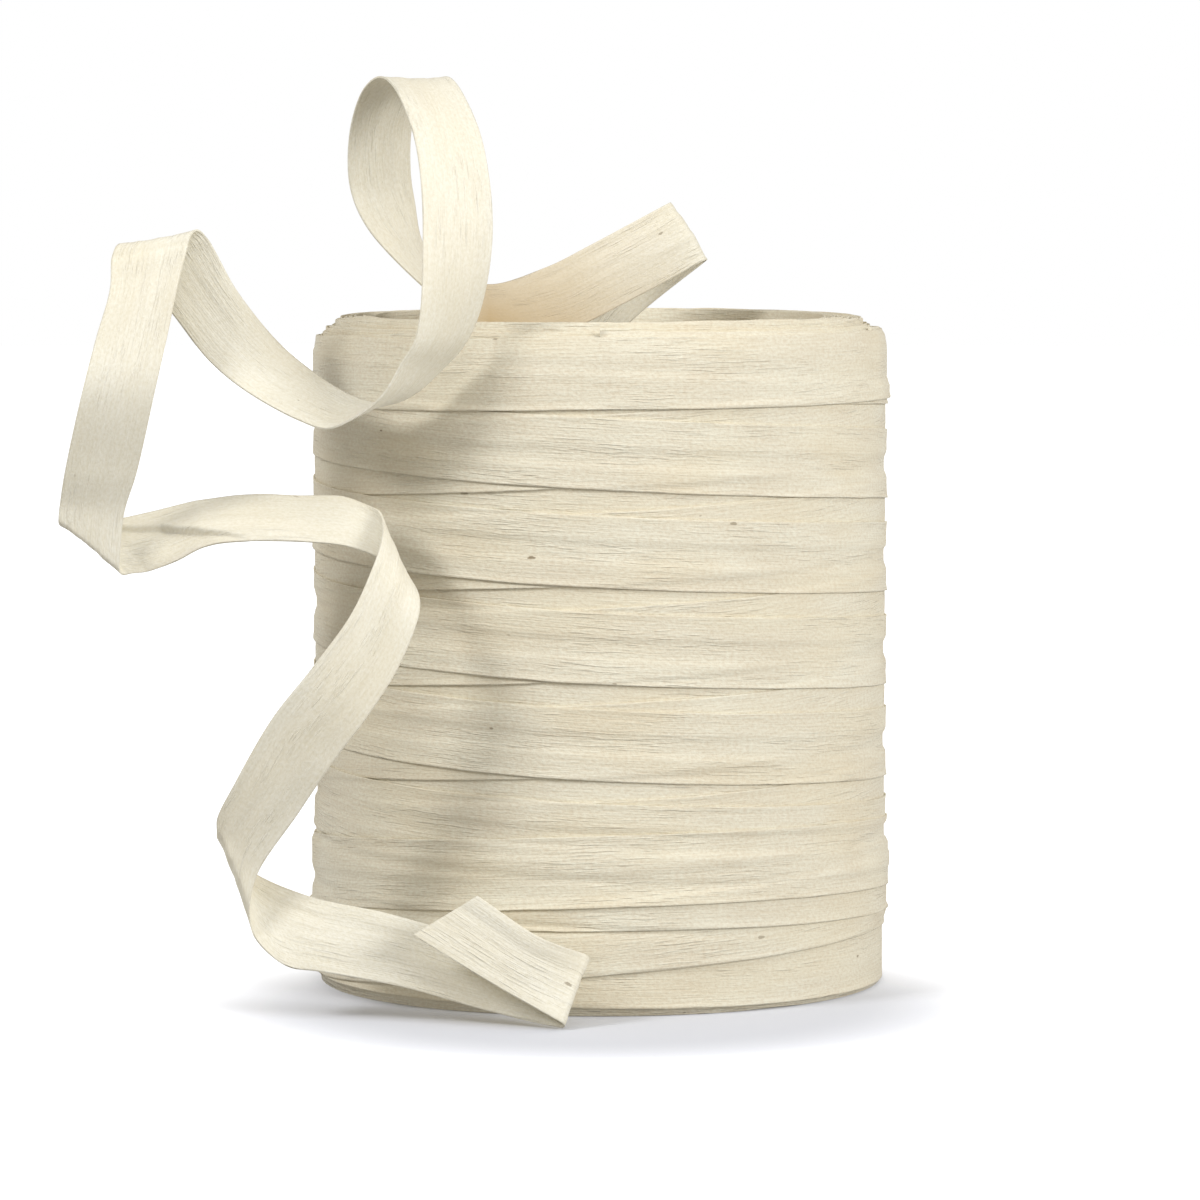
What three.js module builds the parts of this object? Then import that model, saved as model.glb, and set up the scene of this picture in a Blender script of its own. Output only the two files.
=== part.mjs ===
// A roll of raffia ribbon. One long flat ribbon is cross-wound into a hollow upright roll. Its inner end
// comes up out of the hollow, makes a loop over the rim, and lies in folds beside and in front of the roll.
// Millimetres, +Z up. The origin is on the floor, in the middle of the footprint of roll and loose end.
import * as THREE from "three";

// The wound roll.
const rollRadius = 42.5;
const hollowRadius = 33;
const rollHeight = 98;
const rollSegments = 96;
const rollAxis = { x: 17.1, y: 6.2 };

// The loose end. The ribbon is thinner in life, and is drawn as a 1 mm sheet.
const sheetThickness = 1;
const halfWidth = 5;
const gapToWall = 0.3;
const stepLength = 3.5;

// The winding shows outside as bands that lap over each other like shingles, each a little proud at its
// lower edge. edge is the height of that edge, tilt how far it rises and falls round the roll, and turn
// the direction, in degrees from +X, in which it is highest.
const bandStep = 0.5;
const stepSlope = 0.1;
const bands = [
  { edge: 9.5, tilt: 1.6, turn: 10 },
  { edge: 15.5, tilt: 2.2, turn: 335 },
  { edge: 25.5, tilt: 1.4, turn: 195 },
  { edge: 33, tilt: 1.2, turn: 290 },
  { edge: 46.5, tilt: 1, turn: 250 },
  { edge: 60, tilt: 1, turn: 300 },
  { edge: 73.5, tilt: 1.2, turn: 230 },
  { edge: 84.5, tilt: 1.5, turn: 215 },
];

// The top end steps up towards the hollow where the outer layers end lower, and each terrace rises a
// little inwards. radius and height are its outer corner, wave how far that corner wanders up and down
// round the roll, and lobes how often.
const terraceRise = 0.15;
const mouthCorner = { width: 1.2, height: 1 };
const terraces = [
  { radius: 42.5, height: 94.2, wave: 0.5, lobes: 2 },
  { radius: 41.5, height: 95.5, wave: 0.4, lobes: 3 },
  { radius: 40.1, height: 96.7, wave: 0.3, lobes: 2 },
  { radius: 37.2, height: 97.4, wave: 0.2, lobes: 3 },
];

// The bottom end is flat, with a softened outer corner.
const bottomCorner = [
  { inset: 1.6, height: 0 },
  { inset: 0.6, height: 0.5 },
  { inset: 0, height: 1.8 },
];

// The loose end, from the hollow outwards, measured from the roll's axis and the floor. Each row is a
// straight line across the ribbon, from its left edge to its right edge for someone walking out along it.
// First it runs round the inner wall, from one direction to another in degrees from +X.
const wallRun = { from: 215, to: 137, rows: 4, startHeight: 73, endHeight: 79 };

// A row with a bend is the outer line of a fold of that radius, and the next layer lies towards -Y, in
// front, or +Y, behind.
const looseRows = [
  { place: "lifts off the wall", left: [-14, 26.5, 90.5], right: [-10, 26.5, 81.5] },
  { place: "rises in the hollow", left: [-7, 24.5, 98], right: [-1, 24.5, 89.5] },
  { place: "clears the rim", left: [-1, 21, 105], right: [4.5, 21, 96] },
  { place: "tip", left: [10.5, 16.5, 114], right: [16, 16.5, 105.5], bend: 1.2, next: "front" },
  { place: "comes down", left: [-1, 12, 108], right: [3.5, 12, 99] },
  { place: "comes down", left: [-8, 8, 104.5], right: [-4.5, 6.5, 95.5] },
  { place: "above the rim", left: [-17, 1, 102], right: [-16, -6, 95.5] },
  { place: "loop, bottom", left: [-21, -1.5, 104], right: [-21, -9.5, 98.5] },
  { place: "loop, bottom", left: [-25.5, -4, 107.5], right: [-26, -12.5, 102.5] },
  { place: "loop, back", left: [-27, -7, 114.5], right: [-33.5, -13.5, 110.5] },
  { place: "loop, back", left: [-27.5, -9.5, 119], right: [-36, -14, 116.5] },
  { place: "loop, back", left: [-27, -13, 125.5], right: [-36, -16, 124] },
  { place: "loop, top", left: [-24.5, -18.5, 130.5], right: [-34, -20.5, 130] },
  { place: "loop, top", left: [-21.5, -25, 132], right: [-31, -27.5, 132] },
  { place: "loop, top", left: [-18.5, -32, 128], right: [-28, -35, 129] },
  { place: "front strand", left: [-16, -38.5, 121], right: [-25.5, -40, 121.5] },
  { place: "front strand", left: [-15, -43, 108.5], right: [-24.5, -46, 108.5] },
  { place: "front strand", left: [-18, -42, 96], right: [-25.5, -48.5, 95.5] },
  { place: "swoop", left: [-22.5, -39.5, 90.5], right: [-27.5, -48, 92] },
  { place: "swoop", left: [-26, -38, 87.5], right: [-30, -47, 88] },
  { place: "swoop", left: [-29.5, -36, 86], right: [-33.5, -45, 85] },
  { place: "swoop", left: [-33.5, -34, 86.5], right: [-38, -42.5, 83] },
  { place: "climbs left", left: [-37, -32, 88], right: [-42, -39.5, 84] },
  { place: "climbs left", left: [-41.5, -30.5, 91], right: [-49, -36, 87.5] },
  { place: "climbs left", left: [-46, -29.5, 95], right: [-55, -33, 92] },
  { place: "climbs left", left: [-51.5, -29, 102], right: [-60, -30.5, 98] },
  { place: "climbs left", left: [-54.5, -28.5, 107.5], right: [-64, -28.5, 103] },
  { place: "crown", left: [-57, -31, 110.5], right: [-68, -31, 108.5], bend: 2.2, next: "front" },
  { place: "falls", left: [-59, -34, 104.5], right: [-69, -34, 102] },
  { place: "falls", left: [-62, -36, 88.5], right: [-72, -36, 89] },
  { place: "falls", left: [-65, -37.5, 76.5], right: [-75, -37.5, 77] },
  { place: "falls", left: [-67, -38, 70.5], right: [-76, -38, 72] },
  { place: "heel", left: [-67.5, -36, 62], right: [-76, -36, 69], bend: 1.6, next: "behind" },
  { place: "runs right", left: [-63.9, -35, 62], right: [-70, -33.2, 69.4] },
  { place: "runs right", left: [-61, -37.5, 63.5], right: [-63.5, -30.5, 70] },
  { place: "runs right", left: [-56, -38, 66], right: [-57.5, -29.5, 71] },
  { place: "runs right", left: [-49, -39, 67], right: [-49.5, -30.5, 72.5] },
  { place: "runs right", left: [-40.5, -40.5, 67], right: [-42.5, -33, 73] },
  { place: "runs right", left: [-35.5, -41.5, 66.5], right: [-36.5, -34.5, 73] },
  { place: "runs right", left: [-31, -42.5, 65], right: [-33, -36.5, 72] },
  { place: "side", left: [-27.5, -43.8, 62.8], right: [-31, -39, 71.2] },
  { place: "side", left: [-25.5, -46, 60.5], right: [-30.3, -42.5, 69.5] },
  { place: "side", left: [-25, -48.5, 58.3], right: [-30.5, -46, 67] },
  { place: "slopes down", left: [-25.5, -49.5, 56], right: [-31.5, -48, 64] },
  { place: "slopes down", left: [-28, -49, 50], right: [-34.5, -49, 57.5] },
  { place: "slopes down", left: [-32.5, -48.5, 43], right: [-40, -48.5, 50] },
  { place: "slopes down", left: [-37, -47.5, 37], right: [-45.5, -47.5, 43] },
  { place: "slopes down", left: [-42, -46, 29.5], right: [-51, -46, 33.5] },
  { place: "slopes down", left: [-48, -45, 20.5], right: [-53.5, -45, 28.5] },
  { place: "knee", left: [-49, -44.5, 16], right: [-53.5, -44, 26.5] },
  { place: "knee", left: [-48.5, -42, 12], right: [-53.5, -42.5, 25] },
  { place: "knee", left: [-46, -40.5, 9], right: [-52.5, -41, 23.5] },
  { place: "knee", left: [-43.5, -40.5, 7.5], right: [-49.5, -40.5, 20.5] },
  { place: "lies low", left: [-39.5, -42, 7], right: [-41, -41.5, 17] },
  { place: "lies low", left: [-27.5, -46, 5], right: [-30, -43.5, 15] },
  { place: "lies low", left: [-17.5, -49, 2.5], right: [-19.5, -46, 12.5] },
  { place: "lies low", left: [-8.5, -51.5, 1.1], right: [-8.5, -47.5, 11] },
  { place: "end", left: [-5, -53.5, 1.1], right: [-1.5, -48.5, 9.5], bend: 1.2, next: "front" },
  { place: "flap", left: [-14, -54, 6], right: [-8.5, -51, 13] },
  { place: "cut end", left: [-26, -51.5, 13], right: [-17, -49.5, 18.5] },
];
const foldRows = 7;

// Joins rows of points into a closed skin. Each row is a ring of the same count. A tube of rings closes
// on itself when it is round, and gets two flat caps when it isn't.
function skin(rings, round) {
  const count = rings[0].length;
  const faces = [];
  const lastRow = round ? rings.length : rings.length - 1;
  for (let row = 0; row < lastRow; row++) {
    for (let side = 0; side < count; side++) {
      const here = row * count;
      const there = ((row + 1) % rings.length) * count;
      const next = (side + 1) % count;
      faces.push(here + side, there + side, there + next, here + side, there + next, here + next);
    }
  }
  if (!round) {
    const end = (rings.length - 1) * count;
    for (let side = 1; side < count - 1; side++) {
      faces.push(0, side, side + 1, end, end + side + 1, end + side);
    }
  }
  const geometry = new THREE.BufferGeometry();
  geometry.setAttribute("position", new THREE.Float32BufferAttribute(rings.flat(2), 3));
  geometry.setIndex(faces);
  geometry.computeVertexNormals();
  return geometry;
}

// The corner points of the wall's section at one direction round the roll, from the inner bottom corner
// out along the floor, up the bands, in over the terraces and down the inner wall.
function wallSection(direction) {
  const outline = [[hollowRadius, 0]];
  bottomCorner.forEach(({ inset, height }) => outline.push([rollRadius - inset, height]));
  bands.forEach(({ edge, tilt, turn }) => {
    const height = edge + tilt * Math.cos(direction - THREE.MathUtils.degToRad(turn));
    outline.push([rollRadius - bandStep, height - stepSlope], [rollRadius, height + stepSlope]);
  });
  terraces.forEach(({ radius, height, wave, lobes }, step) => {
    const corner = height + wave * Math.cos(lobes * direction + step);
    const isLast = step + 1 === terraces.length;
    const inner = isLast ? hollowRadius + mouthCorner.width : terraces[step + 1].radius + stepSlope;
    outline.push([radius, corner], [inner, corner + terraceRise]);
  });
  outline.push([hollowRadius, rollHeight - mouthCorner.height], [hollowRadius, rollHeight / 2]);
  return outline;
}

function woundRoll() {
  const rings = [];
  for (let segment = 0; segment < rollSegments; segment++) {
    const direction = (segment / rollSegments) * 2 * Math.PI;
    const place = ([radius, height]) => [
      radius * Math.cos(direction),
      radius * Math.sin(direction),
      height,
    ];
    rings.push(wallSection(direction).map(place));
  }
  return skin(rings, true);
}

// Rows across the ribbon where it follows the inner wall, climbing slowly.
function rowsOnWall({ from, to, rows, startHeight, endHeight }) {
  const radius = hollowRadius - gapToWall - sheetThickness / 2;
  return Array.from({ length: rows }, (_, row) => {
    const share = row / (rows - 1);
    const direction = THREE.MathUtils.degToRad(THREE.MathUtils.lerp(from, to, share));
    const height = THREE.MathUtils.lerp(startHeight, endHeight, share * share);
    const at = (up) =>
      new THREE.Vector3(radius * Math.cos(direction), radius * Math.sin(direction), height + up);
    return { left: at(halfWidth), right: at(-halfWidth) };
  });
}

// Rows round a fold: a half circle about a line one radius back from the fold's outer line. A ribbon that
// meets the fold at a slant also slides along that line as it goes round.
function rowsOfFold({ left, right, bend, next }, before) {
  const across = right.clone().sub(left).normalize();
  const layer = new THREE.Vector3(0, next === "front" ? -1 : 1, 0);
  layer.addScaledVector(across, -layer.dot(across)).normalize();
  const ahead = left.clone().add(right).sub(before.left).sub(before.right);
  const out = new THREE.Vector3().crossVectors(across, layer).normalize();
  if (out.dot(ahead) < 0) out.negate();
  const slide = ahead.dot(across) / ahead.dot(out);
  return Array.from({ length: foldRows }, (_, row) => {
    const angle = Math.PI * (row / (foldRows - 1) - 0.5);
    const shift = out.clone().multiplyScalar(bend * (Math.cos(angle) - 1));
    shift.addScaledVector(layer, bend * Math.sin(angle));
    shift.addScaledVector(across, bend * angle * slide);
    return { left: left.clone().add(shift), right: right.clone().add(shift) };
  });
}

function ribbonRows() {
  const rows = rowsOnWall(wallRun);
  looseRows.forEach((entry) => {
    const row = {
      ...entry,
      left: new THREE.Vector3(...entry.left),
      right: new THREE.Vector3(...entry.right),
    };
    rows.push(...(entry.bend ? rowsOfFold(row, rows.at(-1)) : [row]));
  });
  return rows;
}

// The sheet: both edges are smooth curves through the rows, and a flat rectangular section is carried
// along them.
function looseRibbon() {
  const rows = ribbonRows();
  const leftEdge = new THREE.CatmullRomCurve3(rows.map((row) => row.left), false, "centripetal");
  const rightEdge = new THREE.CatmullRomCurve3(rows.map((row) => row.right), false, "centripetal");
  const stations = [];
  for (let row = 0; row < rows.length - 1; row++) {
    const length = Math.max(
      rows[row].left.distanceTo(rows[row + 1].left),
      rows[row].right.distanceTo(rows[row + 1].right),
    );
    const steps = Math.max(1, Math.round(length / stepLength));
    for (let step = 0; step < steps; step++) stations.push((row + step / steps) / (rows.length - 1));
  }
  stations.push(1);
  const rings = stations.map((share) => {
    const left = leftEdge.getPoint(share);
    const right = rightEdge.getPoint(share);
    const along = leftEdge.getTangent(share).add(rightEdge.getTangent(share));
    const face = new THREE.Vector3().crossVectors(along, right.clone().sub(left)).normalize();
    const section = (edge, side) => edge.clone().addScaledVector(face, (side * sheetThickness) / 2);
    const corners = [section(left, 1), section(right, 1), section(right, -1), section(left, -1)];
    return corners.map((point) => point.toArray());
  });
  return skin(rings, false);
}

function named(name, geometry, color) {
  const finish = new THREE.MeshStandardMaterial({ color, roughness: 0.85, metalness: 0 });
  const mesh = new THREE.Mesh(geometry, finish);
  mesh.name = name;
  return mesh;
}

const group = new THREE.Group();
const onAxis = new THREE.Group();
onAxis.position.set(rollAxis.x, rollAxis.y, 0);
onAxis.add(named("wound_roll", woundRoll(), "#e2dac4"));
onAxis.add(named("loose_ribbon", looseRibbon(), "#ece7d8"));
group.add(onAxis);

export default group;
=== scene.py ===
# A roll of raffia ribbon: its looks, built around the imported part. Metres, +Z up.
import math

import bmesh
import bpy
import numpy as np
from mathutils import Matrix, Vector


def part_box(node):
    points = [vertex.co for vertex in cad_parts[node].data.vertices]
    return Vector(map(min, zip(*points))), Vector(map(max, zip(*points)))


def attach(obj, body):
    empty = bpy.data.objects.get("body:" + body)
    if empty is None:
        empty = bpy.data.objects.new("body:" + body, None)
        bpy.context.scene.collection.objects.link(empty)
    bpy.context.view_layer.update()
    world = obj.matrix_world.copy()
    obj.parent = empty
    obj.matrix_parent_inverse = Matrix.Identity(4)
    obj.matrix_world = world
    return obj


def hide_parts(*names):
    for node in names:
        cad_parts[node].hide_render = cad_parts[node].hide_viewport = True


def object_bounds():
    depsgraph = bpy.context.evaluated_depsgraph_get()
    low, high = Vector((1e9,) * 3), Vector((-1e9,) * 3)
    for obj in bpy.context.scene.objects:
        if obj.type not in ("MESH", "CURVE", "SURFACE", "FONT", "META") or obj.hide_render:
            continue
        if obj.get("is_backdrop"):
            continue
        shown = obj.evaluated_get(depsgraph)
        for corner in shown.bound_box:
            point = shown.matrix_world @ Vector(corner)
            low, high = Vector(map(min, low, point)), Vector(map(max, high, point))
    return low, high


mm = 0.001

print("frame: the packed roll and its loose end")
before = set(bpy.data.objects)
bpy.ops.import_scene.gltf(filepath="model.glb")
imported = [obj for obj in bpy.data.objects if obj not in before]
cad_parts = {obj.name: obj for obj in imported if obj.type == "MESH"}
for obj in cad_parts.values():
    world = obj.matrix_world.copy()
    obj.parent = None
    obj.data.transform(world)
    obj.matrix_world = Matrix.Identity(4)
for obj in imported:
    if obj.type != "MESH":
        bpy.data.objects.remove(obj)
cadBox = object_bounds()
rollLow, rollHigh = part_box("wound_roll")
axisX = (rollLow.x + rollHigh.x) / 2
axisY = (rollLow.y + rollHigh.y) / 2

print("camera")
camera = {
    "distance": 830 * mm,  # from the roll's axis, straight in front
    "height": 119 * mm,
    "pitch": 4.36,  # degrees below the horizon
    "lens": 169.5,  # on a 36 mm sensor
}
cameraData = bpy.data.cameras.new("camera")
cameraData.lens = camera["lens"]
cameraData.sensor_width = 36
cameraObject = bpy.data.objects.new("camera", cameraData)
cameraObject.location = (axisX, axisY - camera["distance"], camera["height"])
cameraObject.rotation_euler = (math.radians(90 - camera["pitch"]), 0, 0)
bpy.context.scene.collection.objects.link(cameraObject)
bpy.context.scene.camera = cameraObject


# sRGB hex to linear: a power curve with a short straight foot
def linear(hexColour):
    share = np.array([int(hexColour[place : place + 2], 16) / 255 for place in (1, 3, 5)])
    curved = np.where(share <= 0.04045, share / 12.92, ((share + 0.055) / 1.055) ** 2.4)
    return (*curved.tolist(), 1.0)


# adds a node with its settings, and sets or links its sockets
def addNode(tree, kind, sockets=None, **settings):
    node = tree.nodes.new(kind)
    for name, value in settings.items():
        setattr(node, name, value)
    for socket, value in (sockets or {}).items():
        if isinstance(value, bpy.types.NodeSocket):
            tree.links.new(value, node.inputs[socket])
        else:
            node.inputs[socket].default_value = value
    return node


# random values on a lattice, joined smoothly, from -1 to 1. along and across are in lattice steps, and
# the values repeat along after a period of steps.
def softNoise(along, across, seed, period=256):
    lattice = np.random.default_rng(seed).uniform(-1, 1, (period, 256))
    column = np.floor(along).astype(int)
    row = np.floor(across).astype(int)
    s = along - column
    t = across - row
    s = s * s * (3 - 2 * s)
    t = t * t * (3 - 2 * t)
    corner = lambda right, up: lattice[(column + right) % period, (row + up) % 256]
    low = corner(0, 0) * (1 - s) + corner(1, 0) * s
    high = corner(0, 1) * (1 - s) + corner(1, 1) * s
    return low * (1 - t) + high * t


# 0 below the first value, 1 above the second, and an S curve between them
def ramp(value, start, end):
    share = np.clip((value - start) / (end - start), 0, 1)
    return share * share * (3 - 2 * share)


# the four corners of each cell of a grid, in turn
def quadsOf(index):
    return np.stack([index[:-1, :-1], index[1:, :-1], index[1:, 1:], index[:-1, 1:]], -1).reshape(-1, 4)


# makes the object from points, quads and a UV pair for each corner, in mm of ribbon, with faces outwards
def meshObject(name, points, quads, corners, smooth):
    mesh = bpy.data.meshes.new(name)
    mesh.from_pydata(points.reshape(-1, 3).tolist(), [], quads.tolist())
    mesh.polygons.foreach_set("use_smooth", smooth)
    layer = mesh.uv_layers.new(name="ribbonLength")
    layer.data.foreach_set("uv", corners.astype(np.float32).ravel())
    faces = bmesh.new()
    faces.from_mesh(mesh)
    bmesh.ops.recalc_face_normals(faces, faces=faces.faces)
    faces.to_mesh(mesh)
    faces.free()
    piece = bpy.data.objects.new(name, mesh)
    bpy.context.scene.collection.objects.link(piece)
    return piece


# A thin closed shell: two grids of points, one for each face, joined along the edges and at the ends.
# Rows run along the ribbon and columns across it. A closed one joins its last row to its first.
def ribbonShell(name, outer, inner, along, across, closed=False):
    rows, columns = outer.shape[:2]
    index = np.arange(rows * columns).reshape(rows, columns)
    if closed:
        index = np.vstack([index, index[:1]])
    under = index + rows * columns
    left = np.stack([index[:, 0], under[:, 0]], 1)
    right = np.stack([index[:, -1], under[:, -1]], 1)
    parts = [index, under[:, ::-1], left[:, ::-1], right]
    pair = np.broadcast_arrays(along, across)
    coordinates = np.stack(pair, -1)
    if closed:
        turn = coordinates[1:2] - coordinates[:1]
        coordinates = np.concatenate([coordinates, coordinates[-1:] + turn])
    edges = [coordinates[:, :1].repeat(2, 1), coordinates[:, -1:].repeat(2, 1)]
    grids = [coordinates, coordinates[:, ::-1], edges[0], edges[1]]
    if not closed:
        for end in (0, -1):
            parts.append(np.stack([index[end], under[end]]))
            grids.append(np.stack([coordinates[end], coordinates[end]]))
    quads = np.concatenate([quadsOf(part) for part in parts])
    corners = np.concatenate(
        [np.stack([quadsOf(grid[..., axis]) for axis in (0, 1)], -1).reshape(-1, 2) for grid in grids]
    )
    faces = 2 * (len(index) - 1) * (columns - 1)
    smooth = np.arange(len(quads)) < faces
    return meshObject(name, np.concatenate([outer, inner]), quads, corners, smooth)


print("winding")
winding = {
    "hollow": 33.1,  # radius of the hollow; all lengths in mm
    "layers": 33,  # ribbons on end between the hollow and the outer passes
    "packedRadius": 41.35,  # radius of the last of them
    "layerThickness": 0.2,
    "clearance": 0.12,  # from the middle of the first or last layer to the passes on it
    "ribbonWidth": 10.1,
    "passThickness": 0.2,
    "layerGap": 0.01,
    "bridge": 0.65,  # how far a ribbon spans beside an edge that it lies over
    "lowerLift": 0.13,  # how far an edge stands off
    "upperLift": 0.08,
    "liftWidth": 0.6,
    "liftChange": 0.6,  # share by which the lifts change along the ribbon
    "lowerChangeLength": 31,
    "upperChangeLength": 27,
    "edgeDrift": 0.09,  # how far an edge strays up and down
    "driftLength": 23,
    "shortDrift": 0.4,  # share of a quicker drift on top of it
    "shortDriftLength": 4.7,
    "slackness": 0.05,  # long soft waves in a pass
    "waveLength": 19,
    "waveRows": 2.2,  # waves across the ribbon
    "wrinkle": 0.03,  # short lengthwise ridges
    "ridgeLength": 6,
    "ridgeRows": 11,
    "outerSteps": 190,  # rows of points to the turn, and columns across the ribbon
    "outerColumns": 29,
    "innerSteps": 120,
    "innerColumns": 9,
    "edgeCrowding": 0.07,  # how much closer together the columns are near the edges
    "patternAlong": 61.3,  # from the pattern of one ribbon to that of the next, so that none repeats
    "patternAcross": 33.7,
    "cornerTurns": 0.22,  # turns before and after a corner of a path over which it is rounded
    "shoulder": 1.2,  # how far the outer passes lean in at the top, from one height to the other
    "shoulderLow": 92.3,
    "shoulderHigh": 97,
}

# Each pass from its top end to its bottom end: turns counted from the front of the roll, and the height
# of the ribbon's lower edge there, in mm. A pass that falls goes down to the right, one that rises goes up.
outerPasses = [
    {
        "name": "thirdPass",
        "way": "falls",
        "turns": [0.2, 1, 2, 3, 4, 5, 6, 7],
        "heights": [86.5, 80.6, 67.3, 53.8, 40.2, 26.8, 13.2, 1.2],
    },
    {
        "name": "secondPass",
        "way": "rises",
        "turns": [0.1, 0.5, 1, 2, 3, 4, 5, 6, 6.4],
        "heights": [86.5, 81.4, 74.8, 61.1, 47.6, 34.1, 20.4, 6.6, 1.5],
    },
    {
        "name": "firstPass",
        "way": "falls",
        "turns": [0, 0.25, 0.5, 1, 2, 3, 4, 5, 6],
        "heights": [86.6, 85.4, 81.3, 74.4, 60.7, 47.1, 33.5, 20, 8],
    },
]

# Single turns over the passes: the height of the lower edge, how far it tilts, and the direction where it
# is highest, in degrees to the right of the front.
closingTurns = [
    {"name": "topTurn", "height": 85.2, "tilt": 0.5, "highest": 60},
    {"name": "bottomTurn", "height": 0.9, "tilt": 0.6, "highest": -60},
    {"name": "lowTurn", "height": 4.9, "tilt": 3.6, "highest": 75},
    {"name": "middleTurn", "height": 10.5, "tilt": 1.7, "highest": 0},
    {"name": "bindingTurn", "height": 12.8, "tilt": 3.0, "highest": 25},
]

# The same inside the hollow, where each later pass lies nearer to the axis.
innerPasses = [
    {
        "name": "innerPass",
        "way": "falls",
        "turns": [0.1, 1, 2, 3, 4, 5, 6, 7],
        "heights": [87, 77, 63.3, 49.5, 35.8, 22, 8.4, 0.6],
    },
    {
        "name": "innermostPass",
        "way": "rises",
        "turns": [0.1, 1, 2, 3, 4, 5, 6],
        "heights": [82.6, 70, 56.2, 42.4, 28.6, 14.8, 1],
    },
]


# points at the given turn, radius and height: the turn counts from the front to the right
def aroundRoll(turn, radius, height):
    angle = 2 * math.pi * turn
    x = axisX + radius * mm * np.sin(angle)
    y = axisY - radius * mm * np.cos(angle)
    return np.stack(np.broadcast_arrays(x, y, height * mm), -1)


# how many ribbons lie at each turn and height, from the turns and lower edges of their paths. Each counts in
# full up to its edges and fades out over the bridge beside them.
def ribbonsAt(paths, turn, height):
    total = np.zeros(np.broadcast(turn, height).shape)
    bridge = winding["bridge"]
    for turns, edges in paths:
        first = math.floor(turns.min() - turn.max())
        last = math.ceil(turns.max() - turn.min())
        for whole in range(first, last + 1):
            edge = np.interp(turn + whole, turns, edges, left=np.nan, right=np.nan)
            above = ramp(height - edge, -bridge, 0)
            below = ramp(edge + winding["ribbonWidth"] - height, -bridge, 0)
            total += np.nan_to_num(above * below)
    return total


# One ribbon round the roll: its surface is what lies under it, raised by waves and, where nothing lies over
# it, by its lifted edges. Near the top the outer ones lean in, by the square of the height. A closed one
# ends where it began.
def layRibbon(name, path, under, over, base, inwards, closed, seed, columns):
    turn, edge = (values[:-1] if closed else values for values in path)
    width = winding["ribbonWidth"]
    across = np.linspace(0, 1, columns)[None, :]
    across = across - winding["edgeCrowding"] * np.sin(2 * math.pi * across)
    along = turn[:, None] * 2 * math.pi * base

    # noise with steps of one length in mm along the ribbon, which meets itself in a closed turn
    def uneven(step, rows, number):
        steps = round(2 * math.pi * base / step)
        if closed:
            return softNoise(turn[:, None] * steps, across * rows, seed + number, steps)
        return softNoise(along / step, across * rows, seed + number)

    drift = uneven(winding["driftLength"], 0, 0)
    drift = winding["edgeDrift"] * (drift + winding["shortDrift"] * uneven(winding["shortDriftLength"], 0, 1))
    height = edge[:, None] + drift + across * width
    fromLower = across * width / winding["liftWidth"]
    fromUpper = (1 - across) * width / winding["liftWidth"]
    lowerChange = 1 + winding["liftChange"] * uneven(winding["lowerChangeLength"], 1, 2)
    upperChange = 1 + winding["liftChange"] * uneven(winding["upperChangeLength"], 1, 3)
    lift = winding["lowerLift"] * np.exp(-(fromLower**2)) * lowerChange
    lift += winding["upperLift"] * np.exp(-(fromUpper**2)) * upperChange
    waves = winding["slackness"] * (1 + uneven(winding["waveLength"], winding["waveRows"], 4)) / 2
    ridges = winding["wrinkle"] * uneven(winding["ridgeLength"], winding["ridgeRows"], 5)
    free = 1 - np.minimum(ribbonsAt(over, turn[:, None], height), 1)
    thickness = winding["passThickness"]
    stack = (thickness + winding["layerGap"]) * ribbonsAt(under, turn[:, None], height)
    stack = stack + free * (lift + waves + ridges)
    if not inwards:
        leant = (height - winding["shoulderLow"]) / (winding["shoulderHigh"] - winding["shoulderLow"])
        stack = stack - winding["shoulder"] * np.clip(leant, 0, 1) ** 2
    way = -1 if inwards else 1
    inner = aroundRoll(turn[:, None], base + way * stack, height)
    outer = aroundRoll(turn[:, None], base + way * (stack + thickness), height)
    patternAlong = along + winding["patternAlong"] * seed
    patternAcross = across * width + winding["patternAcross"] * seed
    return ribbonShell(name, outer, inner, patternAlong, patternAcross, closed)


# turns and lower edges along a pass at even steps, with the corners of its table rounded
def passPath(entry, step):
    turns = np.array(entry["turns"], float)
    count = int((turns[-1] - turns[0]) / step)
    turn = np.linspace(turns[0], turns[-1], count)
    edge = np.interp(turn, turns, entry["heights"])
    window = max(1, int(winding["cornerTurns"] / step))
    padded = np.concatenate([np.full(window, edge[0]), edge, np.full(window, edge[-1])])
    total = np.cumsum(padded)
    smoothed = (total[2 * window :] - total[: -2 * window]) / (2 * window)
    edge = smoothed[:count]
    if entry["way"] == "rises":
        turn = -turn[::-1]
        edge = edge[::-1]
    return turn, edge


# the same for a single turn, which closes at the back, a little short of a whole turn so that it counts once
def ringPath(entry, step):
    turn = np.linspace(0.5, 1.5 - 1e-6, round(1 / step) + 1)
    angle = 2 * math.pi * turn - math.radians(entry["highest"])
    return turn, entry["height"] + entry["tilt"] * np.cos(angle)


# lays each ribbon over the ones before it, with its seed from its number, at so many steps to the turn
def layAll(entries, base, steps, columns, inwards=False):
    step = 1 / steps
    paths = [ringPath(entry, step) if "tilt" in entry else passPath(entry, step) for entry in entries]
    pieces = []
    for number, entry in enumerate(entries):
        seed = 40 * number + (400 if inwards else 0)
        under = paths[:number]
        over = paths[number + 1 :]
        path = paths[number]
        piece = layRibbon(entry["name"], path, under, over, base, inwards, "tilt" in entry, seed, columns)
        pieces.append(piece)
    return pieces


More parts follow.
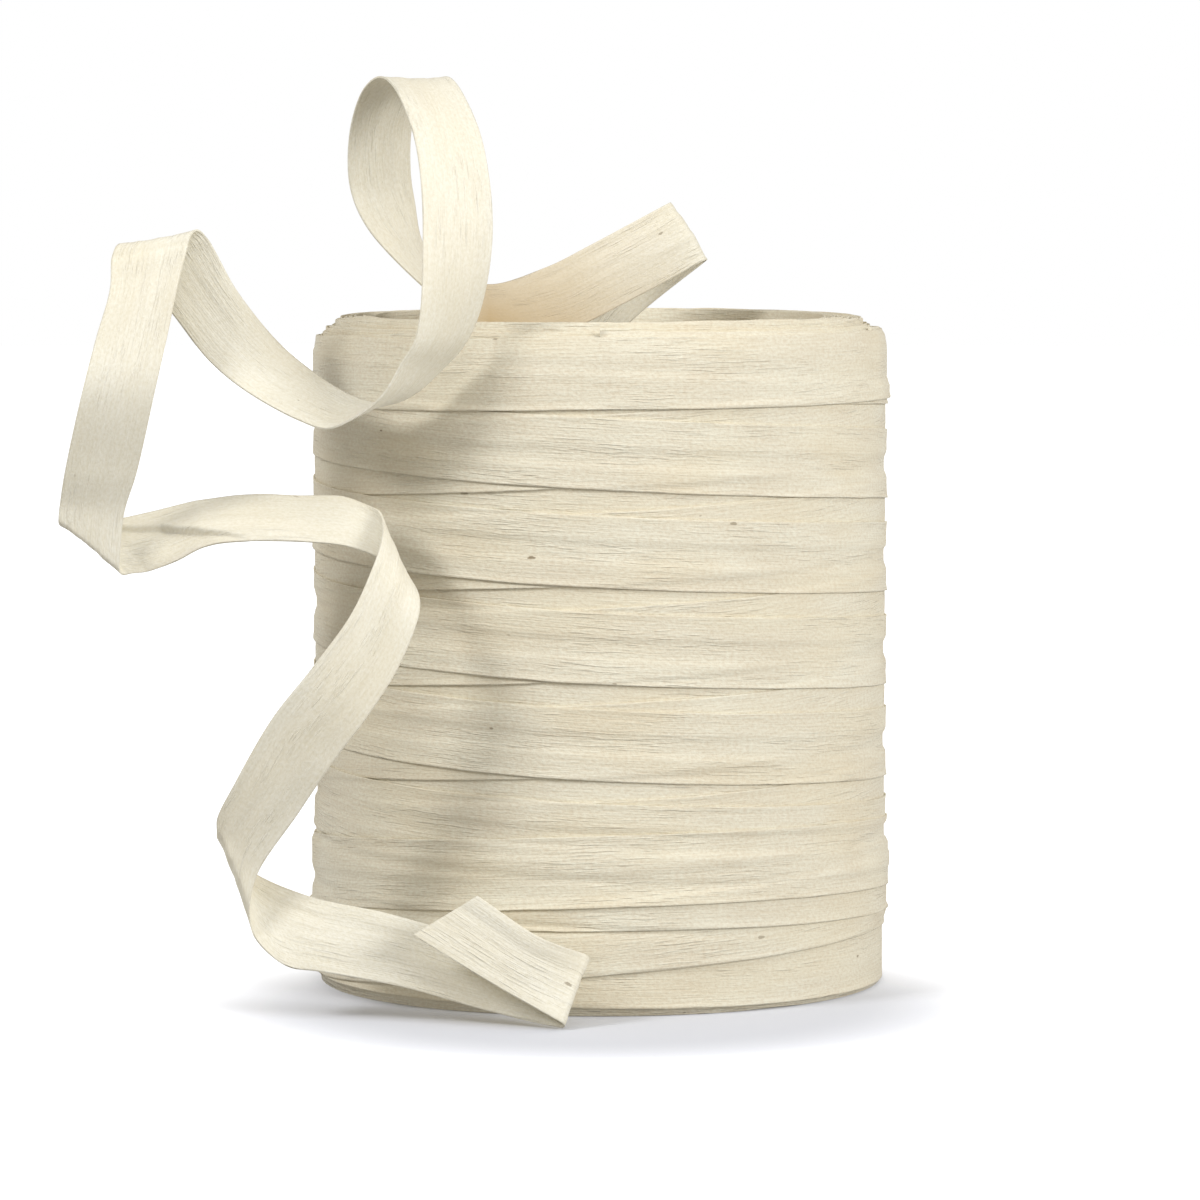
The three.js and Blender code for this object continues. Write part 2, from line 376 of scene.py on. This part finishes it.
# The ribbons inside the wall, which show on end: rings of one thickness, a little apart. Each ring's top
# dips once round the roll, in another direction for each, and the rings end lower towards the outside.
packed = {
    "segments": 240,  # of each ring
    "topRadii": [33, 38.3, 38.9, 40.4, 41, 41.5],
    "topHeights": [97.4, 97.3, 96.5, 95.6, 94.5, 92.4],
    "backRise": 0.35,  # how much higher the rings end at the back than in front
    "dip": 0.8,
    "bottomDip": 1.2,
    "goldenTurn": 137.5,  # degrees from each ring's dip to the next
    "shortWander": 0.12,  # how far a ring's end strays up and down, in so many steps to the turn
    "shortSteps": 40,
    "shortShift": 7.3,  # rows of noise from one ring to the next
    "longWander": 0.25,
    "longSteps": 9,
    "longShift": 5.1,
    "bottomWander": 0.4,  # share of that at the lower end
    "sway": 0.05,  # how far its top strays in and out
    "swaySteps": 13,
    "swayShift": 3.7,
    "rounding": 0.12,  # height of the rounded top of each ribbon
    "floorGap": 0.05,
    "patternTurn": 240,  # mm of pattern to the turn, and from one ring to the next
    "patternShift": 31,
}


# Each ring is a profile of six points, two at the foot and four round the top, carried round the axis.
def packedLayers():
    count = winding["layers"]
    radius = np.linspace(winding["hollow"], winding["packedRadius"], count)[:, None]
    turn = np.arange(packed["segments"])[None, :] / packed["segments"]
    number = np.arange(count)[:, None]
    angle = 2 * math.pi * turn - np.radians(packed["goldenTurn"]) * number

    # noise with so many steps to the turn, which differs from ring to ring
    def uneven(kind, seed):
        steps = packed[kind + "Steps"]
        return softNoise(turn * steps, number * packed[kind + "Shift"], seed, steps)

    wander = packed["shortWander"] * uneven("short", 11) + packed["longWander"] * uneven("long", 12)
    top = np.interp(radius, packed["topRadii"], packed["topHeights"])
    top = top - packed["dip"] * ramp(np.cos(angle), 0.1, 1) + wander
    top = top + packed["backRise"] * (1 - np.cos(2 * math.pi * turn)) / 2
    bottom = packed["floorGap"] + packed["bottomDip"] * ramp(np.cos(angle + 2), 0.1, 1)
    bottom = bottom + np.abs(wander) * packed["bottomWander"]
    sway = packed["sway"] * uneven("sway", 13)
    half = winding["layerThickness"] / 2
    rounding = packed["rounding"]
    topProfile = [(half, rounding), (half * 0.5, 0), (-half * 0.5, 0), (-half, rounding)]
    profile = [(half, None), *topProfile, (-half, None)]  # out from the middle, and down from the top
    rings = []
    coordinates = []
    for offset, drop in profile:
        height = bottom if drop is None else top - drop
        spread = radius + offset + (0 if drop is None else sway)
        rings.append(aroundRoll(turn, spread, height))
        along = turn * packed["patternTurn"] + number * packed["patternShift"]
        coordinates.append(np.stack(np.broadcast_arrays(along, height + offset), -1))
    points = np.stack(rings, 2)  # ring, segment, profile
    texture = np.stack(coordinates, 2)
    index = np.arange(points.shape[0] * points.shape[1] * points.shape[2]).reshape(points.shape[:3])
    index = np.concatenate([index, index[:, :1]], 1)
    index = np.concatenate([index, index[:, :, :1]], 2)
    texture = np.concatenate([texture, texture[:, :1] + [packed["patternTurn"], 0]], 1)
    texture = np.concatenate([texture, texture[:, :, :1]], 2)
    quads = np.concatenate([quadsOf(ring) for ring in index])
    corners = np.concatenate(
        [np.stack([quadsOf(ring[..., axis]) for axis in (0, 1)], -1).reshape(-1, 2) for ring in texture]
    )
    return meshObject("packedLayers", points, quads, corners, np.ones(len(quads), bool))


wall = packedLayers()
outerBase = winding["packedRadius"] + winding["clearance"]
innerBase = winding["hollow"] - winding["clearance"]
outside = layAll(outerPasses + closingTurns, outerBase, winding["outerSteps"], winding["outerColumns"])
linings = layAll(innerPasses, innerBase, winding["innerSteps"], winding["innerColumns"], inwards=True)


print("loose end")
loose = {
    "halfWidth": 5,  # all lengths in mm
    "wallGap": 0.8,  # from the inner wall to the middle of the ribbon
    "foldRows": 9,  # rows of its route round a fold
    "thickness": 0.25,
    "step": 0.5,  # between the rows of points
    "columns": 37,
    "camber": 0.25,  # the ribbon is a little bowed across its width
    "ripple": 0.1,  # heights of its unevenness, with their lengths and their number across the width
    "rippleLength": 9,
    "rippleRows": 1.6,
    "wrinkle": 0.05,
    "wrinkleLength": 5,
    "wrinkleRows": 12,
    "longWrinkle": 0.09,
    "longWrinkleLength": 34,
    "longWrinkleRows": 7,
    "creaseDepth": 1.3,  # the step at a crease
    "creaseLap": 1.1,  # how far its upper part comes down over the lower one
    "creaseHalf": 0.045,  # half the breadth of the step, as a share of the ribbon's width
    "creaseBelow": 0.4,  # share of the step by which the lower part goes back
    "edgeTint": 0.6,  # share of the painted hollow shade at the left edge, against the right one
}

# where it follows the inner wall: directions in degrees from +X, and heights of its middle
wallRun = {"start": 215, "end": 137, "rows": 4, "startHeight": 73, "endHeight": 79}

# Rows across the ribbon in mm from the roll's axis and the floor, each from its left to its right edge
# for someone walking out along it. A bend is the radius of a fold, with the next layer in front or behind.
# A crease is where a lengthwise fold crosses the row, as a share of its width. The last entry of a row gives
# how much the ribbon's colour there is painted a darker warm tan. This painted shade stands in for the dim
# light that comes back out of the hollow.
looseRows = [
    {"place": "lifts off the wall", "left": (-14, 26.5, 90.5), "right": (-10, 26.5, 81.5)},
    {"place": "rises in the hollow", "left": (-7, 24.5, 98), "right": (-1, 24.5, 89.5)},
    {"place": "clears the rim", "left": (-1, 21, 105), "right": (4.5, 21, 96)},
    {"place": "tip", "left": (10.5, 16.5, 114), "right": (16, 16.5, 105.5), "bend": 1.2, "next": "front"},
    {"place": "comes down", "left": (-1, 12, 108), "right": (3.5, 12, 99), "paintedBounce": 0.35},
    {"place": "comes down", "left": (-8, 8, 104.5), "right": (-4.5, 6.5, 95.5), "paintedBounce": 0.7},
    {"place": "above the rim", "left": (-17, 1, 102), "right": (-16, -6, 95.5), "paintedBounce": 1},
    {"place": "loop, bottom", "left": (-21, -1.5, 104), "right": (-21, -9.5, 98.5), "paintedBounce": 0.5},
    {"place": "loop, bottom", "left": (-25.5, -4, 107.5), "right": (-26, -12.5, 102.5)},
    {"place": "loop, back", "left": (-27, -7, 114.5), "right": (-33.5, -13.5, 110.5)},
    {"place": "loop, back", "left": (-27.5, -9.5, 119), "right": (-36, -14, 116.5)},
    {"place": "loop, back", "left": (-27, -13, 125.5), "right": (-36, -16, 124)},
    {"place": "loop, top", "left": (-24.5, -18.5, 130.5), "right": (-34, -20.5, 130)},
    {"place": "loop, top", "left": (-21.5, -25, 132), "right": (-31, -27.5, 132)},
    {"place": "loop, top", "left": (-18.5, -32, 128), "right": (-28, -35, 129)},
    {"place": "front strand", "left": (-16, -38.5, 121), "right": (-25.5, -40, 121.5)},
    {"place": "front strand", "left": (-15, -43, 108.5), "right": (-24.5, -46, 108.5)},
    {"place": "front strand", "left": (-18, -42, 96), "right": (-25.5, -48.5, 95.5)},
    {"place": "swoop", "left": (-22.5, -39.5, 90.5), "right": (-27.5, -48, 92)},
    {"place": "swoop", "left": (-26, -38, 87.5), "right": (-30, -47, 88)},
    {"place": "swoop", "left": (-29.5, -36, 86), "right": (-33.5, -45, 85)},
    {"place": "swoop", "left": (-33.5, -34, 86.5), "right": (-38, -42.5, 83)},
    {"place": "climbs left", "left": (-37, -32, 88), "right": (-42, -39.5, 84)},
    {"place": "climbs left", "left": (-41.5, -30.5, 91), "right": (-49, -36, 87.5)},
    {"place": "climbs left", "left": (-46, -29.5, 95), "right": (-55, -33, 92)},
    {"place": "climbs left", "left": (-51.5, -29, 102), "right": (-60, -30.5, 98)},
    {"place": "climbs left", "left": (-54.5, -28.5, 107.5), "right": (-64, -28.5, 103)},
    {"place": "crown", "left": (-57, -31, 110.5), "right": (-67.8, -31, 108.5), "bend": 1.8, "next": "front"},
    {"place": "falls", "left": (-58.8, -37.5, 104.5), "right": (-68.7, -37.5, 102)},
    {"place": "falls", "left": (-60.3, -40.3, 96.5), "right": (-70.4, -40.3, 95.5)},
    {"place": "falls", "left": (-62, -42, 88.5), "right": (-72, -42, 89)},
    {"place": "falls", "left": (-65, -38.5, 76.5), "right": (-75, -38.5, 77)},
    {"place": "falls", "left": (-67, -36.3, 70.5), "right": (-76, -36.3, 72)},
    {"place": "heel", "left": (-67.5, -34.5, 62), "right": (-76, -35, 69), "bend": 0.9, "next": "behind"},
    {"place": "runs right", "left": (-63.9, -33.6, 62.4), "right": (-70, -32.4, 69.2), "crease": 0.88},
    {"place": "runs right", "left": (-60, -35.2, 64.2), "right": (-63, -29.8, 70.2), "crease": 0.66},
    {"place": "runs right", "left": (-55.5, -37, 66.5), "right": (-57, -29, 71.4), "crease": 0.28},
    {"place": "runs right", "left": (-49, -39, 67.1), "right": (-49.5, -30.5, 72.9), "crease": 0.03},
    {"place": "runs right", "left": (-40.5, -40.5, 67), "right": (-42.5, -33, 73)},
    {"place": "runs right", "left": (-35.5, -41.5, 66.5), "right": (-36.5, -34.5, 73)},
    {"place": "runs right", "left": (-31, -42.5, 65), "right": (-33, -36.5, 72)},
    {"place": "side", "left": (-27.5, -43.8, 62.8), "right": (-31, -39, 71.2)},
    {"place": "side", "left": (-25.5, -46, 60.5), "right": (-30.3, -42.5, 69.5)},
    {"place": "side", "left": (-25, -48.5, 58.3), "right": (-30.5, -46, 67)},
    {"place": "slopes down", "left": (-25.5, -50, 56), "right": (-31.5, -48.5, 64)},
    {"place": "slopes down", "left": (-28, -51, 50), "right": (-34.5, -50.5, 57.5)},
    {"place": "slopes down", "left": (-32.5, -51, 43), "right": (-40, -51, 50)},
    {"place": "slopes down", "left": (-37, -49.5, 37), "right": (-45.5, -49.5, 43)},
    {"place": "slopes down", "left": (-42, -47, 29.5), "right": (-51, -47, 33.5)},
    {"place": "slopes down", "left": (-48, -44.5, 20.5), "right": (-53.5, -45, 28.5)},
    {"place": "knee", "left": (-49, -44.5, 16), "right": (-53.5, -44, 26.5)},
    {"place": "knee", "left": (-48.5, -44, 12), "right": (-53.5, -40.5, 25)},
    {"place": "knee", "left": (-46, -44, 9), "right": (-52.5, -38.5, 23.5)},
    {"place": "knee", "left": (-43.5, -44.5, 7.5), "right": (-49.5, -38.5, 20.5)},
    {"place": "lies low", "left": (-39.5, -45, 7), "right": (-41, -40.5, 17)},
    {"place": "lies low", "left": (-27.5, -46.8, 5), "right": (-30, -43.5, 15)},
    {"place": "lies low", "left": (-17.5, -49, 2.5), "right": (-19.5, -46, 12.5)},
    {"place": "lies low", "left": (-8.5, -51.5, 0.6), "right": (-8.5, -47.5, 10.5)},
    {"place": "end", "left": (-5, -53.5, 0.5), "right": (-1.5, -48.5, 9.2), "bend": 0.9, "next": "front"},
    {"place": "flap", "left": (-14, -54, 6), "right": (-8.5, -53.2, 13)},
    {"place": "cut end", "left": (-26, -51.5, 13), "right": (-17, -51.6, 18.5)},
]


# rows along the inner wall, climbing slowly
def rowsOnWall():
    share = np.linspace(0, 1, wallRun["rows"])
    direction = np.radians(wallRun["start"] + (wallRun["end"] - wallRun["start"]) * share)
    height = wallRun["startHeight"] + (wallRun["endHeight"] - wallRun["startHeight"]) * share**2
    radius = winding["hollow"] - loose["wallGap"]
    middle = np.stack([radius * np.cos(direction), radius * np.sin(direction), height], 1)
    up = np.array([0, 0, loose["halfWidth"]])
    return [{"left": point + up, "right": point - up} for point in middle]


# Rows round a fold: a half circle about a line one radius back from the fold's outer line. A ribbon that
# meets the fold at a slant also slides along that line as it goes round.
def rowsOfFold(entry, before):
    left = entry["left"]
    right = entry["right"]
    across = (right - left) / np.linalg.norm(right - left)
    layer = np.array([0, -1 if entry["next"] == "front" else 1, 0], float)
    layer -= across * (layer @ across)
    layer /= np.linalg.norm(layer)
    ahead = left + right - before["left"] - before["right"]
    out = np.cross(across, layer)
    out *= np.sign(out @ ahead)
    slide = (ahead @ across) / (ahead @ out)
    rows = []
    for angle in np.linspace(-math.pi / 2, math.pi / 2, loose["foldRows"]):
        turned = out * (math.cos(angle) - 1) + layer * math.sin(angle) + across * angle * slide
        rows.append({"left": left + entry["bend"] * turned, "right": right + entry["bend"] * turned})
    return rows


# A smooth line through points: cubic pieces whose knots are spaced by the root of the points' distances.
def smoothLine(points, at):
    padded = np.vstack([2 * points[0] - points[1], points, 2 * points[-1] - points[-2]])
    piece = np.minimum(at.astype(int), len(points) - 2)
    t = (at - piece)[:, None]
    p0, p1, p2, p3 = (padded[piece + corner] for corner in range(4))
    d0, d1, d2 = (
        np.sqrt(np.linalg.norm(end - start, axis=1))[:, None] for start, end in ((p0, p1), (p1, p2), (p2, p3))
    )
    leaving = ((p1 - p0) / d0 - (p2 - p0) / (d0 + d1) + (p2 - p1) / d1) * d1
    arriving = ((p2 - p1) / d1 - (p3 - p1) / (d1 + d2) + (p3 - p2) / d2) * d1
    bend = (2 * p1 - 2 * p2 + leaving + arriving) * t**3
    return bend + (3 * p2 - 3 * p1 - 2 * leaving - arriving) * t**2 + leaving * t + p1


# The ribbon between a smooth left and a smooth right edge line, bowed, rippled and creased along its face,
# and half its thickness to each side of that.
def looseRibbon():
    rows = rowsOnWall()
    for entry in looseRows:
        row = {**entry, "left": np.array(entry["left"], float), "right": np.array(entry["right"], float)}
        rows += rowsOfFold(row, rows[-1]) if "bend" in entry else [row]
    left = np.array([row["left"] for row in rows])
    right = np.array([row["right"] for row in rows])
    creasedRows = [number for number, row in enumerate(rows) if "crease" in row]
    creaseAmount = np.array([min(1, 4 * row.get("crease", 0)) for row in rows])
    paintedBounce = np.array([row.get("paintedBounce", 0) for row in rows])
    gaps = [np.linalg.norm(np.diff(edge, axis=0), axis=1) for edge in (left, right)]
    steps = np.maximum(2, np.round(np.maximum(*gaps) / loose["step"])).astype(int)
    parts = [np.arange(count) / count + row for row, count in enumerate(steps)]
    at = np.concatenate([*parts, [len(rows) - 1]])
    leftLine = smoothLine(left, at)
    rightLine = smoothLine(right, at)
    middle = (leftLine + rightLine) / 2
    length = np.concatenate([[0], np.cumsum(np.linalg.norm(np.diff(middle, axis=0), axis=1))])[:, None]
    share = np.linspace(0, 1, loose["columns"])[None, :]
    points = leftLine[:, None] * (1 - share[..., None]) + rightLine[:, None] * share[..., None]
    face = np.cross(np.gradient(middle, axis=0), rightLine - leftLine)
    face /= np.linalg.norm(face, axis=1)[:, None]
    depth = loose["camber"] * (1 - (2 * share - 1) ** 2)
    for number, kind in enumerate(("ripple", "wrinkle", "longWrinkle")):
        along = length / loose[kind + "Length"]
        depth = depth + loose[kind] * softNoise(along, share * loose[kind + "Rows"], 71 + number)
    creaseAt = np.interp(at, creasedRows, [rows[number]["crease"] for number in creasedRows])[:, None]
    beyond = ramp(share, creaseAt - loose["creaseHalf"], creaseAt + loose["creaseHalf"])
    creased = np.interp(at, np.arange(len(rows)), creaseAmount)[:, None]
    depth = depth + loose["creaseDepth"] * creased * (beyond - loose["creaseBelow"])
    lap = loose["creaseLap"] * creased * beyond * (1 - share)
    across = (rightLine - leftLine) / np.linalg.norm(rightLine - leftLine, axis=1)[:, None]
    points = points + face[:, None] * depth[..., None] - across[:, None] * lap[..., None]
    tangentAlong = np.gradient(points, axis=0)
    tangentAcross = np.gradient(points, axis=1)
    normal = np.cross(tangentAlong, tangentAcross)
    normal /= np.linalg.norm(normal, axis=2)[..., None]
    centre = np.array([axisX, axisY, 0])
    half = loose["thickness"] / 2
    outer = (points + normal * half) * mm + centre
    inner = (points - normal * half) * mm + centre
    piece = ribbonShell("looseRibbon", outer, inner, length, share * 2 * loose["halfWidth"])
    # painted shade: towards the hollow the ribbon's colour is mixed with a darker warm tan, which stands in
    # for the light that comes back out of it. The mix is weaker at the left edge.
    tint = np.interp(at, np.arange(len(rows)), paintedBounce)[:, None]
    tint = tint * (loose["edgeTint"] + (1 - loose["edgeTint"]) * share)
    layer = piece.data.attributes.new("paintedHollowShade", "FLOAT", "POINT")
    layer.data.foreach_set("value", np.concatenate([tint, tint]).ravel())
    return piece, float(length[-1, 0])


looseSheet, looseLength = looseRibbon()
print("loose end:", round(looseLength), "mm long")


print("finishes")
# Unbleached cotton raffia, pressed flat: matt and creamy, with fibres lengthwise, a fine grain like soft
# paper, short wrinkles in patches and a few seed flecks.
woundFinish = {
    "name": "woundRaffia",
    "light": "#eeead8",
    "dark": "#dcd1ba",
    "warm": "#e6d6b0",
    "warmth": 0.16,
    "hollow": "#bda377",  # painted shade: the darker warm tan mixed in where the loose ribbon nears the hollow, standing in for the light that comes back out of it
    "fleck": "#806c4d",
    "fleckShare": 0.16,
    "roughness": 0.75,
    "relief": 0.21,  # mm
}
looseFinish = {
    **woundFinish,
    "name": "looseRaffia",
    "light": "#f3f0e3",
    "dark": "#e5dfcb",
    "warmth": 0.12,
    "fleckShare": 0.12,
    "relief": 0.18,
}


# the node material of one finish, on the ribbon's own length and width
def raffia(finish):
    material = bpy.data.materials.new(finish["name"])
    material.use_nodes = True
    tree = material.node_tree
    tree.nodes.clear()
    ribbon = addNode(tree, "ShaderNodeUVMap", uv_map="ribbonLength").outputs["UV"]  # mm along and across

    # a cloud of noise with so many features to each mm along and across the ribbon
    def noise(along, across, detail):
        place = addNode(tree, "ShaderNodeMapping", {"Vector": ribbon, "Scale": (along, across, 1)})
        cloud = {"Vector": place.outputs["Vector"], "Scale": 1.0, "Detail": detail, "Roughness": 0.6}
        return addNode(tree, "ShaderNodeTexNoise", cloud, noise_dimensions="2D").outputs["Fac"]

    # maps a value between low and high to one between start and end
    def spread(value, low, high, start=0.0, end=1.0):
        sockets = {"Value": value, "From Min": low, "From Max": high, "To Min": start, "To Max": end}
        return addNode(tree, "ShaderNodeMapRange", sockets).outputs["Result"]

    # one step of arithmetic on two values
    def joined(operation, first, second):
        return addNode(tree, "ShaderNodeMath", {0: first, 1: second}, operation=operation).outputs[0]

    # the first colour at a share of 0, the second one at 1
    def blended(share, first, second):
        mix = addNode(tree, "ShaderNodeMix", data_type="RGBA")
        for place, value in ((0, share), (6, first), (7, second)):
            if isinstance(value, bpy.types.NodeSocket):
                tree.links.new(value, mix.inputs[place])
            else:
                mix.inputs[place].default_value = value
        return mix.outputs[2]

    fibres = noise(0.14, 3.6, 2.0)  # 0.3 mm wide, 7 mm long
    wrinkles = spread(noise(0.2, 2.6, 1.0), 0.52, 0.74)  # 0.4 mm wide, 5 mm long
    patches = spread(noise(0.05, 0.25, 1.0), 0.48, 0.6)  # 20 mm long and 4 mm wide, where wrinkles show
    grain = noise(1.6, 2.6, 3.0)  # threads of about half a millimetre
    clouds = noise(0.05, 0.14, 2.0)  # 20 mm long and 7 mm wide
    shownWrinkles = joined("MULTIPLY", wrinkles, patches)

    # the colour goes from dark to light with half the fibres, half the clouds and the grain
    tone = joined("ADD", joined("MULTIPLY", fibres, 0.5), joined("MULTIPLY", clouds, 0.5))
    tone = joined("ADD", tone, grain)
    cream = blended(spread(tone, 0.7, 1.3), linear(finish["dark"]), linear(finish["light"]))
    warmth = spread(noise(0.035, 0.09, 1.0), 0.45, 0.65, 0.0, finish["warmth"])
    # painted shade from the hollow: a per-point share of the darker warm hollow colour, set on the loose
    # ribbon only
    paintedBounce = addNode(tree, "ShaderNodeAttribute", attribute_name="paintedHollowShade").outputs["Fac"]
    cream = blended(warmth, cream, linear(finish["warm"]))
    cream = blended(paintedBounce, cream, linear(finish["hollow"]))

    # seed flecks: one in each chosen cell of 14 by 6 mm, drawn out along the fibres
    cells = addNode(tree, "ShaderNodeMapping", {"Vector": ribbon, "Scale": (0.07, 0.16, 1)})
    seeds = addNode(
        tree,
        "ShaderNodeTexVoronoi",
        {"Vector": cells.outputs["Vector"], "Scale": 1.0},
        voronoi_dimensions="2D",
    )
    pick = addNode(tree, "ShaderNodeSeparateColor", {"Color": seeds.outputs["Color"]})
    chosen = joined("LESS_THAN", pick.outputs["Red"], finish["fleckShare"])
    size = spread(pick.outputs["Green"], 0.0, 1.0, 0.01, 0.04)  # as a share of the cell
    size = joined("MULTIPLY", size, spread(grain, 0.3, 0.7, 0.6, 1.4))
    depth = joined("MULTIPLY", chosen, spread(pick.outputs["Blue"], 0.0, 1.0, 0.25, 0.85))
    near = spread(joined("DIVIDE", seeds.outputs["Distance"], size), 0.8, 1.2, 1.0, 0.0)
    colour = blended(joined("MULTIPLY", near, depth), cream, linear(finish["fleck"]))

    # the relief is fibres, the wrinkles of the patches, and grain
    height = joined("ADD", joined("MULTIPLY", fibres, 0.45), joined("MULTIPLY", shownWrinkles, 0.5))
    height = joined("ADD", height, joined("MULTIPLY", grain, 0.35))
    relief = {"Height": height, "Strength": 0.8, "Distance": finish["relief"] * mm}
    bump = addNode(tree, "ShaderNodeBump", relief)
    sockets = {
        "Base Color": colour,
        "Normal": bump.outputs["Normal"],
        "Roughness": finish["roughness"],
        "Specular IOR Level": 0.3,
        "Sheen Weight": 0.12,
        "Sheen Roughness": 0.45,
    }
    shader = addNode(tree, "ShaderNodeBsdfPrincipled", sockets)
    addNode(tree, "ShaderNodeOutputMaterial", {"Surface": shader.outputs["BSDF"]})
    return material


woundRaffia = raffia(woundFinish)
looseRaffia = raffia(looseFinish)
woundPieces = [wall, *outside, *linings]
for piece in woundPieces:
    piece.data.materials.append(woundRaffia)
    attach(piece, "root")
    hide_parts("wound_roll")
looseSheet.data.materials.append(looseRaffia)
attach(looseSheet, "root")
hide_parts("loose_ribbon")

print("studio")
studio = {
    "floor": "#e0e3ec",
    "floorRadius": 3.0,
    "floorCorners": 128,
    "shadowCentre": (axisX, axisY - 0.03, 0),
    "glowStart": 0.034,  # metres from there at which the floor begins to glow
    "glowEnd": 0.078,
    "nearGlow": 0.0,
    "farGlow": 1.0,
    "backdropRadius": 5.0,
    "ambient": 0.37,
    "ambientTint": "#fffaf1",
}
# place and aim in metres from the foot of the roll's axis, size in metres, power in watts
lamps = [
    {"name": "leftPanel", "place": (-0.62, -0.45, 0.58), "aim": (0, 0, 0.06), "size": 0.25, "power": 3.4},
    {"name": "rightPanel", "place": (0.8, -0.72, 0.38), "aim": (0, 0, 0.05), "size": 0.4, "power": 7.3},
    {"name": "topPanel", "place": (0.08, -0.25, 0.5), "aim": (0, 0, 0.08), "size": 0.3, "power": 0.45},
]
scene = bpy.context.scene
scene.view_settings.view_transform = "Standard"
scene.world = bpy.data.worlds.new("studio")
scene.world.use_nodes = True
sky = scene.world.node_tree.nodes["Background"]
sky.inputs["Color"].default_value = linear(studio["ambientTint"])
sky.inputs["Strength"].default_value = studio["ambient"]


# Seamless white paper: matt under the roll, where its shadow falls, and painted white further off by its own
# glow. The glow is an emission, not a lamp, that rises with the distance from the shadow's centre and stands
# in for strong lamps, so that no edge or horizon shows. Painted light: near the roll the darker floor is real
# shadow plus painted shade where the glow is still low.
def floorPaper():
    material = bpy.data.materials.new("floorPaper")
    material.use_nodes = True
    tree = material.node_tree
    tree.nodes.clear()
    place = addNode(tree, "ShaderNodeTexCoord").outputs["Object"]
    centre = studio["shadowCentre"]
    away = addNode(tree, "ShaderNodeVectorMath", {0: place, 1: centre}, operation="DISTANCE")
    spread = {
        "Value": away.outputs["Value"],
        "From Min": studio["glowStart"],
        "From Max": studio["glowEnd"],
        "To Min": studio["nearGlow"],
        "To Max": studio["farGlow"],
    }
    glow = addNode(tree, "ShaderNodeMapRange", spread, interpolation_type="SMOOTHSTEP")
    sockets = {
        "Base Color": linear(studio["floor"]),
        "Roughness": 0.95,
        "Specular IOR Level": 0.0,
        "Emission Color": (1, 1, 1, 1),
        "Emission Strength": glow.outputs["Result"],
    }
    shader = addNode(tree, "ShaderNodeBsdfPrincipled", sockets)
    addNode(tree, "ShaderNodeOutputMaterial", {"Surface": shader.outputs["BSDF"]})
    return material


# a disc of the paper, which sends no light back up to the roll
def stageFloor():
    corners = studio["floorCorners"]
    turn = np.arange(corners) / corners * 2 * math.pi
    points = studio["floorRadius"] * np.stack([np.cos(turn), np.sin(turn), 0 * turn], 1)
    mesh = bpy.data.meshes.new("floor")
    mesh.from_pydata(points.tolist(), [], [list(range(corners))])
    mesh.materials.append(floorPaper())
    floor = bpy.data.objects.new("floor", mesh)
    floor.visible_diffuse = False
    return floor


# a white ball round everything, which only the camera sees
def stageBackdrop():
    mesh = bpy.data.meshes.new("backdrop")
    ball = bmesh.new()
    bmesh.ops.create_uvsphere(ball, u_segments=48, v_segments=24, radius=studio["backdropRadius"])
    ball.to_mesh(mesh)
    ball.free()
    backdrop = bpy.data.objects.new("backdrop", mesh)
    material = bpy.data.materials.new("backdropWhite")
    material.use_nodes = True
    tree = material.node_tree
    tree.nodes.clear()
    glow = addNode(tree, "ShaderNodeEmission", {"Color": (1, 1, 1, 1), "Strength": 1.0})
    addNode(tree, "ShaderNodeOutputMaterial", {"Surface": glow.outputs["Emission"]})
    mesh.materials.append(material)
    backdrop.visible_diffuse = False
    backdrop.visible_glossy = False
    backdrop.visible_transmission = False
    backdrop.visible_shadow = False
    return backdrop


for piece in (stageFloor(), stageBackdrop()):
    scene.collection.objects.link(piece)
    piece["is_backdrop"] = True
for lamp in lamps:
    data = bpy.data.lights.new(lamp["name"], "AREA")
    data.size = lamp["size"]
    data.energy = lamp["power"]
    light = bpy.data.objects.new(lamp["name"], data)
    light.location = Vector((axisX, axisY, 0)) + Vector(lamp["place"])
    towards = Vector(lamp["aim"]) - Vector(lamp["place"])
    light.rotation_euler = towards.to_track_quat("-Z", "Y").to_euler()
    scene.collection.objects.link(light)

print("sizes")
boxes = {"cad": cadBox, "visual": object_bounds()}
{name: [list(corner) for corner in box] for name, box in boxes.items()}
